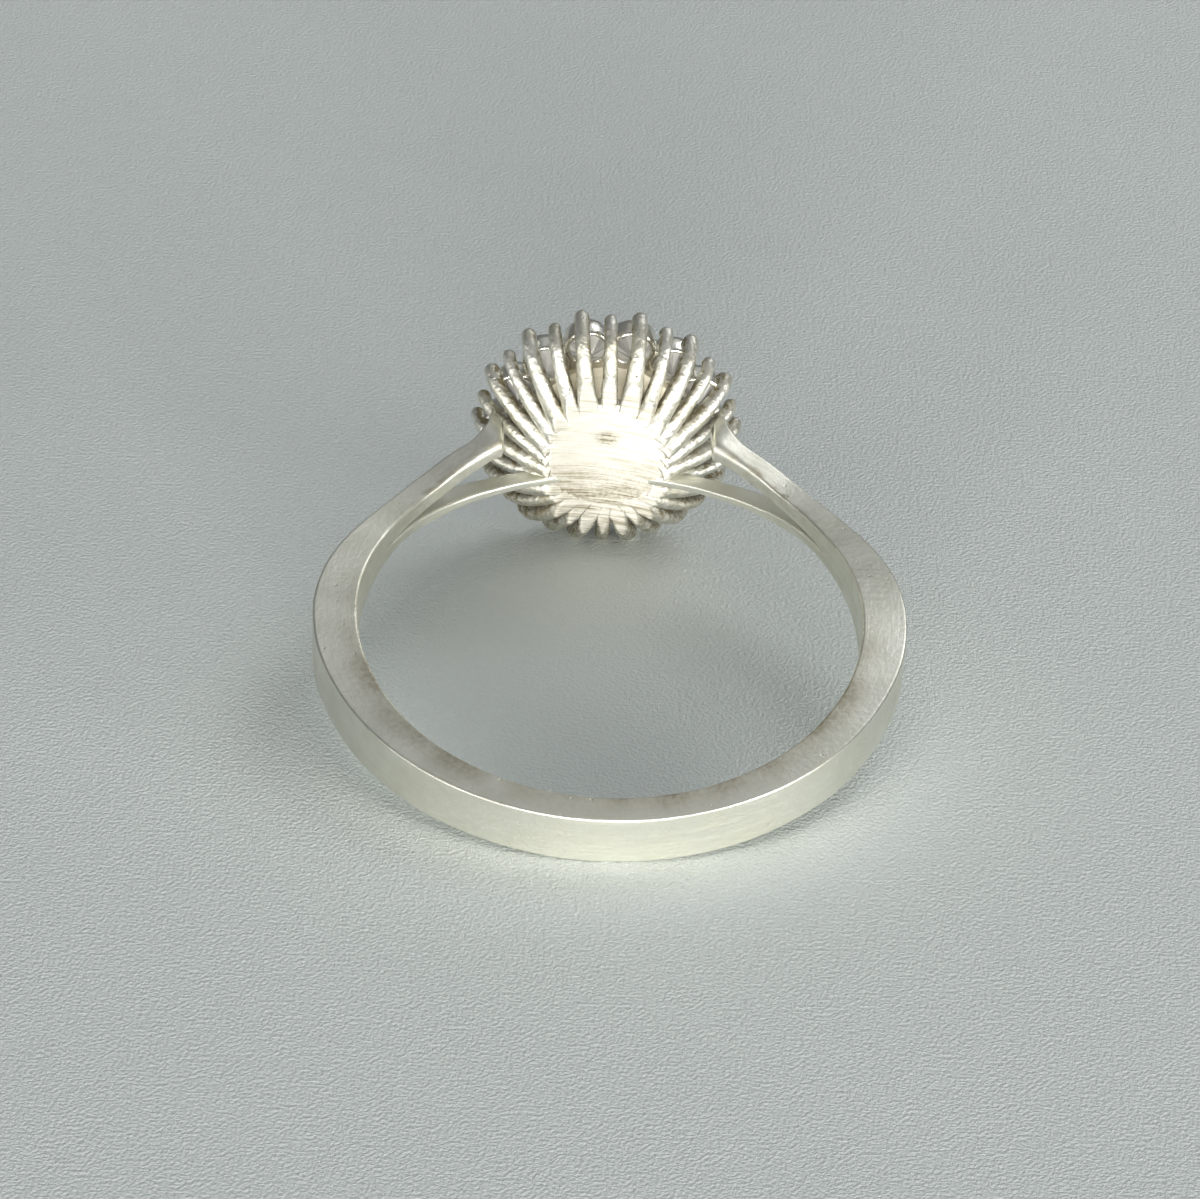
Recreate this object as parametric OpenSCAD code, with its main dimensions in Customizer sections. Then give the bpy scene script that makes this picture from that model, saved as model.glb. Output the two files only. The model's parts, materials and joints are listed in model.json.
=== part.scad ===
// A split-shank cluster ring without its centre stone, lying on its side.
// It is drawn with the finger axis along Z and the head towards +Y, and
// then tipped back by the angle at which it rests on a table.

/* [Band] */
// Diameter of the finger hole
finger_d = 17.3; // [15.5:0.1:20]
// Width of the band along the finger, at the back
band_w = 2.08; // [1.8:0.02:2.6]
// Thickness of the band at the back
back_t = 1.04; // [0.9:0.02:1.4]
// Thickness of the band at its two sides
side_t = 1.53; // [1.3:0.02:1.8]

/* [Shoulders] */
// Angle from the head at which the band forks
fork_angle = 62; // [58:1:66]
// Angle from the head at which the upper branch ends in the wires
upper_end = 21; // [20:1:23]
// Angle from the head at which the lower branch ends in the back plate
lower_end = 11; // [9:1:13]

/* [Head] */
// Number of small stones round the head
stone_count = 14; // [12:1:14]
// Half width of the back plate across the finger
plate_x = 2.1; // [1.9:0.05:2.3]
// Half length of the back plate along the finger
plate_z = 2.5; // [2.3:0.05:2.7]
// Thickness of the back plate at its middle
plate_t = 0.5; // [0.4:0.05:0.6]
// Half width of the head between the centres of its wire tips
tip_x = 4.5; // [4.4:0.05:4.7]
// Half length of the head between the centres of its wire tips
tip_z = 4.92; // [4.8:0.05:5.1]
// Height of the wire tips above the finger hole's top
tip_rise = 2.05; // [2:0.05:2.2]
// Diameter of the wires that stand behind a stone
wire_d = 0.52; // [0.45:0.01:0.56]
// Diameter of the wires that stand between two stones
thin_wire_d = 0.4; // [0.35:0.01:0.42]
// Height of the collet's rim above the finger hole's top
collet_rise = 2.3; // [2.1:0.05:2.6]
// Wall thickness of the collet's rim
collet_t = 0.24; // [0.2:0.01:0.3]

/* [Small stones] */
// Diameter of a small stone
stone_d = 1.46; // [1.3:0.02:1.48]
// Width of a stone's table as a share of its diameter
table_share = 0.56; // [0.5:0.01:0.62]
// Height of the stones' girdle above the finger hole's top
girdle_rise = 1.62; // [1.6:0.01:1.7]

/* [Hidden] */
STONES = [for (i = [1:stone_count]) str("accent_stone_", i < 10 ? "0" : "", i)];

finger_r = finger_d / 2;
half_w = band_w / 2;
bore_skin = 0.3;
band_step = 4;

// Sections of the plain band: angle from the head, thickness, top z and bottom z as shares of half the width
BAND = [
    [fork_angle, 0.70 * side_t, 0.60, -0.72],
    [fork_angle + band_step, 0.76 * side_t, 0.66, -0.76],
    [fork_angle + 9, 0.83 * side_t, 0.74, -0.80],
    [80, 0.93 * side_t, 0.87, -0.89],
    [90, side_t, 1, -1],
    [135, (side_t + back_t) / 2, 1, -1],
    [180, back_t, 1, -1],
];

// Sections of a branch: angle from the head, thickness, top z and bottom z as shares of half the width
UPPER = [
    [upper_end, 0.80 * side_t, 1.30, 0.62],
    [27, 0.60 * side_t, 1.27, 0.66],
    [31, 0.54 * side_t, 1.11, 0.47],
    [37, 0.56 * side_t, 0.86, 0.22],
    [44, 0.57 * side_t, 0.60, -0.02],
    [51, 0.57 * side_t, 0.55, -0.14],
    [57, 0.63 * side_t, 0.56, -0.20],
    [fork_angle, 0.70 * side_t, 0.60, -0.25],
    [fork_angle + band_step, 0.76 * side_t, 0.66, -0.35],
];
LOWER = [
    [lower_end, 0.40 * side_t, -0.90, -1.21],
    [27, 0.43 * side_t, -0.78, -1.11],
    [31, 0.46 * side_t, -0.70, -1.06],
    [37, 0.50 * side_t, -0.60, -0.97],
    [44, 0.54 * side_t, -0.43, -0.88],
    [51, 0.57 * side_t, -0.31, -0.73],
    [57, 0.63 * side_t, -0.26, -0.70],
    [fork_angle, 0.70 * side_t, -0.15, -0.72],
    [fork_angle + band_step, 0.76 * side_t, 0.0, -0.76],
];

oval_sides = 56;
plate_top = finger_r + plate_t;
collet_top = finger_r + collet_rise;
girdle_y = finger_r + girdle_rise;

// The stones' centres stand on an oval inside the wires
stone_in = 0.28 + stone_d / 2 + 0.075;
stone_x = tip_x - stone_in;
stone_z = tip_z - stone_in;
stone_gap = 0.07;
collet_x = stone_x - stone_d / 2 - stone_gap;
collet_z = stone_z - stone_d / 2 - stone_gap;
cup_flare = 0.25;
cup_shoulder_y = girdle_y - 0.5;
ledge_y = girdle_y + 0.05;
ledge_w = 0.4;

wire_sides = 8;
foot_share = 0.86;
foot_sink = 0.17;
file_allowance = 0.03;
WIRE_STEPS = [0, 0.2, 0.38, 0.54, 0.7, 0.85, 1];
TIP_DOME = [[0.55, 0.85], [0.9, 0.5]];

function thickness(a) = lookup(a, [for (row = BAND) [row[0], row[1]]]);
function polar(r, a) = [r * sin(a), r * cos(a)];
function bezier(p, t) =
    pow(1 - t, 3) * p[0] + 3 * t * pow(1 - t, 2) * p[1] + 3 * t * t * (1 - t) * p[2] + pow(t, 3) * p[3];

// Walls that join a stack of rings of n points, with a flat cap at each end
function stack_faces(rings, n) = concat(
    [[for (j = [0:n - 1]) j]],
    [for (i = [0:rings - 2], j = [0:n - 1])
        [i * n + j, (i + 1) * n + j, (i + 1) * n + (j + 1) % n, i * n + (j + 1) % n]],
    [[for (j = [n - 1:-1:0]) (rings - 1) * n + j]]
);

// Keeps of its children what lies inside a table's side view, drawn with y and z and run on at its head end
module side_view(table) {
    rows = [for (row = table) [(finger_r + row[1] / 2) * cos(row[0]), half_w * row[2], half_w * row[3]]];
    head = [[rows[0][0] + 1, rows[0][1], rows[0][2]]];
    back = table[len(table) - 1][0] == 180 ? [[-2 * finger_r, half_w, -half_w]] : [];
    view = concat(head, rows, back);
    intersection() {
        children();
        rotate([90, 0, 90])
            linear_extrude(height = 4 * finger_r, center = true)
                polygon(concat(
                    [for (v = view) [v[0], v[1]]],
                    [for (i = [len(view) - 1:-1:0]) [view[i][0], view[i][2]]]
                ));
    }
}

module band() {
    inner_r = finger_r - bore_skin;
    turns = (360 - 2 * fork_angle) / band_step;
    angles = [for (i = [0:turns]) fork_angle + i * band_step];
    side_view(BAND)
        linear_extrude(height = 4 * half_w, center = true)
            polygon(concat(
                [for (a = angles) polar(finger_r + thickness(min(a, 360 - a)), a)],
                [for (i = [len(angles) - 1:-1:0]) polar(inner_r, angles[i])]
            ));
}

module branches() {
    inner_r = finger_r - bore_skin;
    for (table = [UPPER, LOWER])
        side_view(table)
            linear_extrude(height = 4 * half_w, center = true)
                for (side = [-1, 1])
                    scale([side, 1])
                        polygon(concat(
                            [for (row = table) polar(finger_r + row[1], row[0])],
                            [for (i = [len(table) - 1:-1:0]) polar(inner_r, table[i][0])]
                        ));
}

// A solid lofted through ovals, each given as half width, half length and height
module oval_loft(ovals) {
    polyhedron(
        [for (o = ovals, j = [0:oval_sides - 1])
            [o[0] * sin(360 * j / oval_sides), o[2], o[1] * cos(360 * j / oval_sides)]],
        stack_faces(len(ovals), oval_sides)
    );
}

module back_plate() {
    oval_loft([[plate_x, plate_z, finger_r - 0.6], [plate_x, plate_z, plate_top]]);
}

// The cup's wall flares from the plate to a shoulder below the stones, and a plain rim stands on it
module cup() {
    difference() {
        union() {
            oval_loft([
                [plate_x, plate_z, finger_r],
                [collet_x + cup_flare, collet_z + cup_flare, cup_shoulder_y],
            ]);
            oval_loft([
                [collet_x, collet_z, cup_shoulder_y - 0.2],
                [collet_x, collet_z, collet_top],
            ]);
        }
        oval_loft([
            [collet_x - ledge_w - collet_t, collet_z - ledge_w - collet_t, plate_top],
            [collet_x - ledge_w - collet_t, collet_z - ledge_w - collet_t, collet_top + 1],
        ]);
        oval_loft([
            [collet_x - collet_t, collet_z - collet_t, ledge_y],
            [collet_x - collet_t, collet_z - collet_t, collet_top + 1],
        ]);
    }
}

// A wire's way as half width, half length and height; it starts inside the plate's edge
function wire_way(inset, drop) =
    let (y1 = finger_r + foot_sink)
    [
        [foot_share * plate_x, foot_share * plate_z, y1],
        [0.74 * tip_x, 0.76 * tip_z, y1 + 0.05],
        [1.05 * tip_x - inset, 1.05 * tip_z - inset, finger_r + 0.4 * tip_rise],
        [tip_x - inset, tip_z - inset, finger_r + tip_rise - drop],
    ];

// Side wires start lower, because the finger hole falls away from the plate's middle
function wire_point(way, angle, t) =
    let (o = bezier(way, t))
    let (fall = finger_r - sqrt(pow(finger_r, 2) - pow(foot_share * plate_x * sin(angle), 2)))
    [o[0] * sin(angle), o[2] - fall * pow(1 - t, 2), o[1] * cos(angle)];

function wire_ring(c, along, across, r) =
    let (up = cross(along, across))
    [for (j = [0:wire_sides - 1])
        c + r * (cos(360 * (j + 0.5) / wire_sides) * across + sin(360 * (j + 0.5) / wire_sides) * up)];

// All points of one wire: rings along its way and two smaller ones that round its tip
function wire_points(way, angle, d) =
    let (across = [cos(angle), 0, -sin(angle)])
    let (step = 0.01)
    let (ends = wire_point(way, angle, 1) - wire_point(way, angle, 1 - step))
    let (last = ends / norm(ends))
    concat(
        [for (t = WIRE_STEPS)
            let (s = min(t, 1 - step))
            let (v = wire_point(way, angle, s + step) - wire_point(way, angle, s))
            each wire_ring(wire_point(way, angle, t), v / norm(v), across, d / 2)],
        [for (dome = TIP_DOME)
            each wire_ring(wire_point(way, angle, 1) + last * dome[0] * d / 2, last, across, dome[1] * d / 2)]
    );

// Every second wire stands behind a stone and is thicker; the others are shorter and stand between two stones
function wire_angle(k) = 180 * k / stone_count;
function is_thick(k) = k % 2 == 1;
function wire_shape(k) = is_thick(k)
    ? wire_points(wire_way(0, 0), wire_angle(k), wire_d)
    : wire_points(wire_way(0.06, 0.25), wire_angle(k), thin_wire_d);

module wires() {
    rings = len(WIRE_STEPS) + len(TIP_DOME);
    for (k = [0:2 * stone_count - 1])
        polyhedron(wire_shape(k), stack_faces(rings, wire_sides));
}

// Band, branches and plate share the true finger hole
module shank() {
    difference() {
        union() {
            band();
            branches();
            back_plate();
        }
        cylinder(r = finger_r, h = 4 * band_w, center = true, $fn = 96);
    }
}

// The cup and its wires, filed to the finger hole and brought to their full width
module basket() {
    resize([2 * head_half, 0, 0])
        difference() {
            union() {
                cup();
                wires();
            }
            cylinder(r = finger_r + file_allowance, h = 6 * band_w, center = true, $fn = 96);
        }
}

// At rest the band's back edge and the lowest wires carry the ring, and that sets the tilt
back_foot = [-(finger_r + back_t), -half_w];
HEAD_POINTS = [for (k = [0:2 * stone_count - 1], p = wire_shape(k)) p];
head_half = max([for (p = HEAD_POINTS) p[0]]);
rest_tilt = -min([for (p = HEAD_POINTS) atan2(p[2] - back_foot[1], p[1] - back_foot[0])]);
floor_z = back_foot[0] * sin(rest_tilt) + back_foot[1] * cos(rest_tilt);
front_y = max([for (p = HEAD_POINTS) p[1] * cos(rest_tilt) - p[2] * sin(rest_tilt)]);
rear_y = back_foot[0] * cos(rest_tilt) - half_w * sin(rest_tilt);

module at_rest() {
    translate([0, -(front_y + rear_y) / 2, -floor_z])
        rotate([rest_tilt, 0, 0])
            children();
}

module ring_mount() {
    color("silver")
        at_rest()
            union() {
                shank();
                basket();
            }
}

// A round brilliant in its own frame: girdle at z = 0, table upwards
module brilliant(d) {
    r = d / 2;
    table_r = table_share * r;
    crown_h = 0.15 * d;
    girdle_h = 0.04 * d;
    culet_z = -0.43 * d;
    rim = [for (j = [0:15]) [r * cos(22.5 * j), r * sin(22.5 * j)]];
    points = concat(
        [for (j = [0:7]) [table_r * cos(45 * j), table_r * sin(45 * j), crown_h]],
        [for (p = rim) [p[0], p[1], girdle_h / 2]],
        [for (p = rim) [p[0], p[1], -girdle_h / 2]],
        [[0, 0, culet_z]]
    );
    faces = concat(
        [[for (j = [7:-1:0]) j]],
        [for (j = [0:7]) [j, (j + 1) % 8, 8 + 2 * j + 1]],
        [for (j = [0:7]) [j, 8 + 2 * j + 1, 8 + 2 * j]],
        [for (j = [0:7]) [j, 8 + 2 * j, 8 + (2 * j + 15) % 16]],
        [for (j = [0:15]) [8 + j, 8 + (j + 1) % 16, 24 + (j + 1) % 16, 24 + j]],
        [for (j = [0:15]) [24 + j, 24 + (j + 1) % 16, 40]]
    );
    polyhedron(points, faces);
}

module accent_stone(i) {
    angle = 360 * (i + 0.5) / stone_count;
    color([0.9, 0.93, 0.95])
        at_rest()
            translate([stone_x * sin(angle), girdle_y, stone_z * cos(angle)])
                rotate([-90, 0, 0])
                    brilliant(stone_d);
}

ring_mount();
for (i = [0:stone_count - 1]) accent_stone(i);
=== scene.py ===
# %% [markdown]
# # A semi-mount ring, lying on its side
#
# The object is a silver ring that waits for its centre stone. A plain band forks at each shoulder, the forks carry
# a basket of curled wires, and fourteen small stones stand between the wire tips.
#
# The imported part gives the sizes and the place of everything. This lesson builds the visible surfaces over it:
# rounded metal in mesh code, and the wires and stones, which repeat, with Geometry Nodes.

import json
import math

import bmesh
import bpy
import numpy as np
from mathutils import Matrix, Vector, noise


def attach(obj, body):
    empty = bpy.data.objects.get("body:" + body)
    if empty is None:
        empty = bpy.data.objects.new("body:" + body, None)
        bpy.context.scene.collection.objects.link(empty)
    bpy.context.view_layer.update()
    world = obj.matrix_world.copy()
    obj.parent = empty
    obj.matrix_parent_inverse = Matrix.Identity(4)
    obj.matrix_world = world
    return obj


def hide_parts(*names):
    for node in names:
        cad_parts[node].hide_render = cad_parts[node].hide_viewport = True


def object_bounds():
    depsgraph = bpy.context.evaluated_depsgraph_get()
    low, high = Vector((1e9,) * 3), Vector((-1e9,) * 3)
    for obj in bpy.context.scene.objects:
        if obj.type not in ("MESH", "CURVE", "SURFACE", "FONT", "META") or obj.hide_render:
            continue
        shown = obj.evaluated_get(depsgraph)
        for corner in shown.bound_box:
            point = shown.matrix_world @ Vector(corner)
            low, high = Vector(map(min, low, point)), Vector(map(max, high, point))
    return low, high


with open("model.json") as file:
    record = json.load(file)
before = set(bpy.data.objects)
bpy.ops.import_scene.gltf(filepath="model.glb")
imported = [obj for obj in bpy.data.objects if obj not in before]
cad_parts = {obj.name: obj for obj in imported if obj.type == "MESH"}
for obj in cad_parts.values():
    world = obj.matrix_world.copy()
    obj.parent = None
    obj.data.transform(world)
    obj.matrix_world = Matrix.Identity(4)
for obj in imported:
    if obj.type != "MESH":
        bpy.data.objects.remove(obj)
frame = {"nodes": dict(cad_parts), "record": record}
cad_low, cad_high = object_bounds()
stone_nodes = sorted(name for name in frame["nodes"] if name.startswith("accent_stone"))
cad_size = [round(1000 * v, 2) for v in cad_high - cad_low]
print("the packed part is", cad_size, "mm, with", len(stone_nodes), "small stones")

# %% [markdown]
# ## A drawing frame for the ring
#
# A jeweller thinks of a ring with the finger hole upright and the head in front. Here it lies on the table, tipped
# back until it rests on the band's rear edge and the lowest wires. The finger hole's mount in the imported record
# says how it is tipped, so the shapes below are drawn in the ring's own frame, in millimetres, and moved once.

# %% From the ring's own frame to the table
MM = 0.001
bore = {mount["name"]: mount for mount in frame["record"]["mounts"]}["finger_bore"]
finger_axis = Vector(bore["axis"]).normalized()
head_way = finger_axis.cross(Vector((1, 0, 0))).normalized()
ring_axes = Matrix((Vector((1, 0, 0)), head_way, finger_axis)).transposed().to_4x4()
ring_to_table = Matrix.Translation(Vector(bore["pos_m"])) @ ring_axes @ Matrix.Scale(MM, 4)
finger_r = bore["dims"]["r_mm"]
rest_tilt = math.atan2(-finger_axis.y, finger_axis.z)
print("the ring leans back by", round(math.degrees(rest_tilt), 2), "degrees")


def on_table(points):
    """Points in the ring's frame, in millimetres, as an array in the scene's frame, in metres."""
    m = np.array(ring_to_table)
    return np.asarray(points, float) @ m[:3, :3].T + m[:3, 3]


def quad_rows(rows, count, closed=False):
    """Faces between rows of points, each a loop of so many points. Where closed, the last row joins the first."""
    faces = []
    for row in range(rows if closed else rows - 1):
        near, far = row * count, (row + 1) % rows * count
        faces += [(near + k, near + (k + 1) % count, far + (k + 1) % count, far + k) for k in range(count)]
    return faces


def add_object(name, data):
    """A new object at the origin, linked to the scene."""
    thing = bpy.data.objects.new(name, data)
    bpy.context.scene.collection.objects.link(thing)
    return thing


def clean_mesh(mesh, merge_distance):
    """Merge a mesh's doubled points, within a distance in millimetres, and turn its faces outwards."""
    work = bmesh.new()
    work.from_mesh(mesh)
    bmesh.ops.remove_doubles(work, verts=work.verts, dist=merge_distance * MM)
    bmesh.ops.recalc_face_normals(work, faces=work.faces)
    work.to_mesh(mesh)
    work.free()


def shade_smooth(mesh):
    """Shade a mesh's faces as one soft surface."""
    mesh.polygons.foreach_set("use_smooth", [True] * len(mesh.polygons))


def make_piece(name, points, faces):
    """A smooth mesh object at the origin, from points in the ring's frame."""
    mesh = bpy.data.meshes.new(name)
    mesh.from_pydata(on_table(points).tolist(), [], faces)
    clean_mesh(mesh, 0.002)
    shade_smooth(mesh)
    return add_object(name, mesh)


# %% [markdown]
# ## The camera
#
# The camera looks down on the back of the band from about a hand's width away. Its place was worked out from the
# band's edges in the photograph, so it is written in the ring's frame and moved with the ring. A long lens keeps
# the near and far sides of the ring almost the same size.

# %% Camera
# Focal length in pixels, distance and sidestep in millimetres
IMAGE_WIDTH = 1200
FOCAL_PIXELS = 5014.0
CAMERA_DISTANCE = 172.1
CAMERA_ELEVATION = math.radians(45.373)
CAMERA_AZIMUTH = math.radians(-2.55)
CAMERA_ROLL = math.radians(2.813)
CAMERA_SIDESTEP = (-0.319, 1.086)
SENSOR = 36.0

flat_way = Vector((math.sin(CAMERA_AZIMUTH), -math.cos(CAMERA_AZIMUTH), 0))
backward = flat_way * math.cos(CAMERA_ELEVATION) + Vector((0, 0, math.sin(CAMERA_ELEVATION)))
level = Vector((math.cos(CAMERA_AZIMUTH), math.sin(CAMERA_AZIMUTH), 0))
upward = backward.cross(level)
right = math.cos(CAMERA_ROLL) * level + math.sin(CAMERA_ROLL) * upward
upward = math.cos(CAMERA_ROLL) * upward - math.sin(CAMERA_ROLL) * level
camera_spot = backward * CAMERA_DISTANCE + right * CAMERA_SIDESTEP[0] + upward * CAMERA_SIDESTEP[1]
turn = ring_axes @ Matrix((right, upward, backward)).transposed().to_4x4()

camera_data = bpy.data.cameras.new("camera")
camera_data.sensor_width = SENSOR
camera_data.lens = FOCAL_PIXELS * SENSOR / IMAGE_WIDTH
camera_data.clip_start = 0.01
camera_data.clip_end = 5
camera = add_object("camera", camera_data)
camera.matrix_world = Matrix.Translation(ring_to_table @ camera_spot) @ turn
bpy.context.scene.camera = camera
print("camera", [round(v, 4) for v in camera.location], "lens", round(camera_data.lens, 1), "mm")

# %% [markdown]
# ## The band and its forked shoulders
#
# The band is one flat-sided strip, thin at the back and thick at the two sides. Towards the head it narrows and
# splits: one branch climbs to the side of the head and the other runs under it. Two strands, laid one on the other,
# make this easy. They share their middle line where the band is whole, and part at the fork. Each strand is lofted
# through sections in short tables, and smooth curves run between the rows.

# %% Smooth tables
FORK = 62.0
FORK_MIDDLE = -0.22

# Angle from the head, outer radius, top and bottom
BAND = (
    (FORK, 9.72, 0.62, -0.75),
    (66, 9.81, 0.685, -0.79),
    (71, 9.92, 0.77, -0.83),
    (80, 10.07, 0.905, -0.925),
    (90, 10.165, 1.02, -1.03),
    (98, 10.165, 1.04, -1.04),
    (112, 10.06, 1.04, -1.04),
    (135, 9.90, 1.04, -1.04),
    (160, 9.74, 1.04, -1.04),
    (180, 9.69, 1.04, -1.04),
)
UPPER = (
    (25.5, 9.86, 1.40, 0.66),
    (27, 9.72, 1.34, 0.67),
    (29, 9.56, 1.25, 0.60),
    (31, 9.475, 1.155, 0.49),
    (37, 9.507, 0.895, 0.23),
    (44, 9.52, 0.625, -0.02),
    (51, 9.52, 0.57, -0.146),
    (57, 9.61, 0.58, -0.20),
    (FORK, 9.72, 0.62, FORK_MIDDLE),
)
LOWER = (
    (10, 9.262, -0.936, -1.26),
    (20, 9.285, -0.87, -1.21),
    (27, 9.308, -0.81, -1.155),
    (31, 9.354, -0.728, -1.10),
    (37, 9.415, -0.624, -1.01),
    (44, 9.476, -0.447, -0.915),
    (51, 9.52, -0.32, -0.76),
    (57, 9.61, -0.265, -0.73),
    (FORK, 9.72, FORK_MIDDLE, -0.75),
)


def smooth(table, column, angle):
    """A value between a table's rows, on a smooth curve that doesn't overshoot them."""
    x = np.array([row[0] for row in table], float)
    y = np.array([row[column] for row in table], float)
    slope = np.diff(y) / np.diff(x)
    bend = np.zeros(len(x))
    for k in range(1, len(x) - 1):
        if slope[k - 1] * slope[k] > 0:
            bend[k] = 2 * slope[k - 1] * slope[k] / (slope[k - 1] + slope[k])
    bend[0], bend[-1] = slope[0], slope[-1]
    k = int(np.clip(np.searchsorted(x, angle) - 1, 0, len(x) - 2))
    h = x[k + 1] - x[k]
    t = (angle - x[k]) / h
    low = (1 + 2 * t) * (1 - t) ** 2 * y[k] + t * (1 - t) ** 2 * h * bend[k]
    high = t * t * (3 - 2 * t) * y[k + 1] - t * t * (1 - t) * h * bend[k + 1]
    return low + high


print("outer radius at the back", round(smooth(BAND, 1, 180), 2), "and at the side", round(smooth(BAND, 1, 92), 2))


# %% [markdown]
# Each section is a rectangle with rounded corners. Where the band is whole, the corners at the middle line have no
# rounding, so both strands share that line, and the two faces between them are left out. The edges of a worn ring
# are soft, and the flat sides are never quite flat, so the points get a small wavy push at the end. The upper
# branches carry a file's bevel along their inner top edge, widest at the head, and their ends are carried on into the
# wires, where they are soldered.

# %% Strands
CORNER_STEPS, FACE_STEPS = 4, 4
EDGE_ROUND = 0.085
# Degrees from the fork at which its inner edges are fully round
EDGE_RUN = 4
# Depth of the bevel, where it starts, and how many degrees it runs
BEVEL, BEVEL_START, BEVEL_RUN = 0.20, 44, 17
# The push into the wires, then the share of it and the size of each added section
SOLDER = (-0.12, 0.95, -0.05)
SOLDER_STEPS = ((0.45, 0.96), (1.0, 0.8))


def corner(r, z, turn_r, turn_z, radius):
    """Points round one corner, from the side of turn_z to the side of turn_r, with a point ahead of and behind it."""
    steps = [math.pi / 2 * k / CORNER_STEPS for k in range(CORNER_STEPS + 1)]
    arc = [(r + turn_r * radius * (1 - math.cos(a)), z + turn_z * radius * (1 - math.sin(a))) for a in steps]
    lead = 0.35 * radius
    return [(arc[0][0], arc[0][1] + turn_z * lead)] + arc + [(arc[-1][0] + turn_r * lead, arc[-1][1])]


def section(outer, high, low, high_round, low_round, bevel=0.0):
    """A closed section as (radius, height), from the inner wall over the top, and down the outer wall."""
    corners = [
        corner(finger_r, high, 1, -1, high_round + bevel),
        corner(outer, high, -1, -1, high_round)[::-1],
        corner(outer, low, -1, 1, low_round),
        corner(finger_r, low, 1, 1, low_round)[::-1],
    ]
    loop = []
    for here, after in zip(corners, corners[1:] + corners[:1]):
        loop += here
        for k in range(1, FACE_STEPS):
            share = k / FACE_STEPS
            loop.append(tuple(a + (b - a) * share for a, b in zip(here[-1], after[0])))
    return loop


SIDE_COUNT = CORNER_STEPS + 2 + FACE_STEPS
# Places of the top face and of the bottom face in a section
TOP_SIDE = range(0, SIDE_COUNT + CORNER_STEPS + 3)
LOW_SIDE = range(2 * SIDE_COUNT, 3 * SIDE_COUNT + CORNER_STEPS + 3)
print("a section has", len(section(10, 1, 0, EDGE_ROUND, EDGE_ROUND)), "points")


def middle_line(angle):
    """Height of the line where the two strands meet."""
    t = min(max((angle - FORK) / (90 - FORK), 0), 1)
    return FORK_MIDDLE * (1 - t * t * (3 - 2 * t))


def strand(name, angles, side):
    """Points and faces of one strand: name is upper or lower, side is 1 for the right hand and -1 for the left."""
    points = []
    for angle in angles:
        opened = EDGE_ROUND * min(max((FORK - angle) / EDGE_RUN, 0), 1)
        if angle >= FORK:
            outer, top, bottom = (smooth(BAND, column, angle) for column in (1, 2, 3))
            high, low = (top, middle_line(angle)) if name == "upper" else (middle_line(angle), bottom)
        else:
            outer, high, low = (smooth(UPPER if name == "upper" else LOWER, column, angle) for column in (1, 2, 3))
        rounds = (EDGE_ROUND, opened) if name == "upper" else (opened, EDGE_ROUND)
        bevel = BEVEL * max((BEVEL_START - angle) / BEVEL_RUN, 0) ** 1.5 if name == "upper" else 0.0
        way = math.radians(angle)
        loop = section(outer, high, low, *rounds, bevel)
        points += [(side * r * math.sin(way), r * math.cos(way), z) for r, z in loop]
    count = 4 * SIDE_COUNT
    if name == "upper":
        end = np.array(points[:count])
        shift = np.array((side * SOLDER[0], SOLDER[1], SOLDER[2]))
        for part, size in SOLDER_STEPS:
            moved = end.mean(0) + size * (end - end.mean(0)) + part * shift
            points = [tuple(spot) for spot in moved] + points
            angles = [angles[0]] + angles
    shared = LOW_SIDE if name == "upper" else TOP_SIDE
    faces = []
    for face in quad_rows(len(angles), count):
        row, k = divmod(face[0], count)
        if angles[row] < FORK or k not in shared or k + 1 not in shared:
            faces.append(face)
    return points, faces + [tuple(range(count))]


# %% [markdown]
# ## Soft, uneven metal
#
# The ring was cast and then filed by hand, so no face is truly flat. A slow, shallow wave moves each point along its
# normal. The wave is read from the point's place, so two points at one place move together.

# %% Shank
def wave(piece, depth, size):
    """Push a piece's points along their normals by a smooth noise. Depth and size are in millimetres."""
    mesh = piece.data
    normals = [vertex.normal.copy() for vertex in mesh.vertices]
    for vertex, normal in zip(mesh.vertices, normals):
        place = vertex.co / (MM * size)
        push = noise.noise(place) + 0.5 * noise.noise(2.1 * place)
        vertex.co += normal * push * depth * MM


def ring_arrays(piece):
    """A piece's points and its normals there, in the ring's frame, as two arrays."""
    back = np.array(ring_to_table.inverted())
    spots, normals = np.empty(3 * len(piece.data.vertices)), np.empty(3 * len(piece.data.vertices))
    piece.data.vertices.foreach_get("co", spots)
    piece.data.vertices.foreach_get("normal", normals)
    return spots.reshape(-1, 3) @ back[:3, :3].T + back[:3, 3], normals.reshape(-1, 3) @ back[:3, :3].T * MM


def set_grime_and_shade(piece, amount):
    """Keep how much dirt and painted shade each point carries, from 0 to 1, as an attribute that the finishes read."""
    layer = piece.data.attributes.new("grime_and_shade", "FLOAT", "POINT")
    layer.data.foreach_set("value", np.clip(amount, 0, 1).astype(np.float32))


def speckles(spots, fineness):
    """A noise value at each point, from about -0.7 to 0.7. Fineness is in cells per millimetre."""
    return np.array([noise.noise(Vector(fineness * spot)) for spot in spots])


def fade(value, start, end):
    """0 at the start, 1 at the end, even between them, and held beyond them."""
    return np.clip((value - start) / (end - start), 0, 1)


def add_ring_uv(piece, slant=0.0):
    """A UV map in millimetres: along the finger hole's rim, and across it. It is mirrored, unless it is slanted."""
    spots = ring_arrays(piece)[0]
    along = finger_r * np.arctan2(spots[:, 0], spots[:, 1])
    along = along if slant else np.abs(along)
    across = spots[:, 2] + np.hypot(spots[:, 0], spots[:, 1]) - finger_r + slant * along
    corners_at = np.empty(len(piece.data.loops), dtype=np.int32)
    piece.data.loops.foreach_get("vertex_index", corners_at)
    layer = piece.data.uv_layers.new(name="along_across")
    layer.data.foreach_set("uv", np.stack([along[corners_at], across[corners_at]], 1).ravel())


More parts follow.
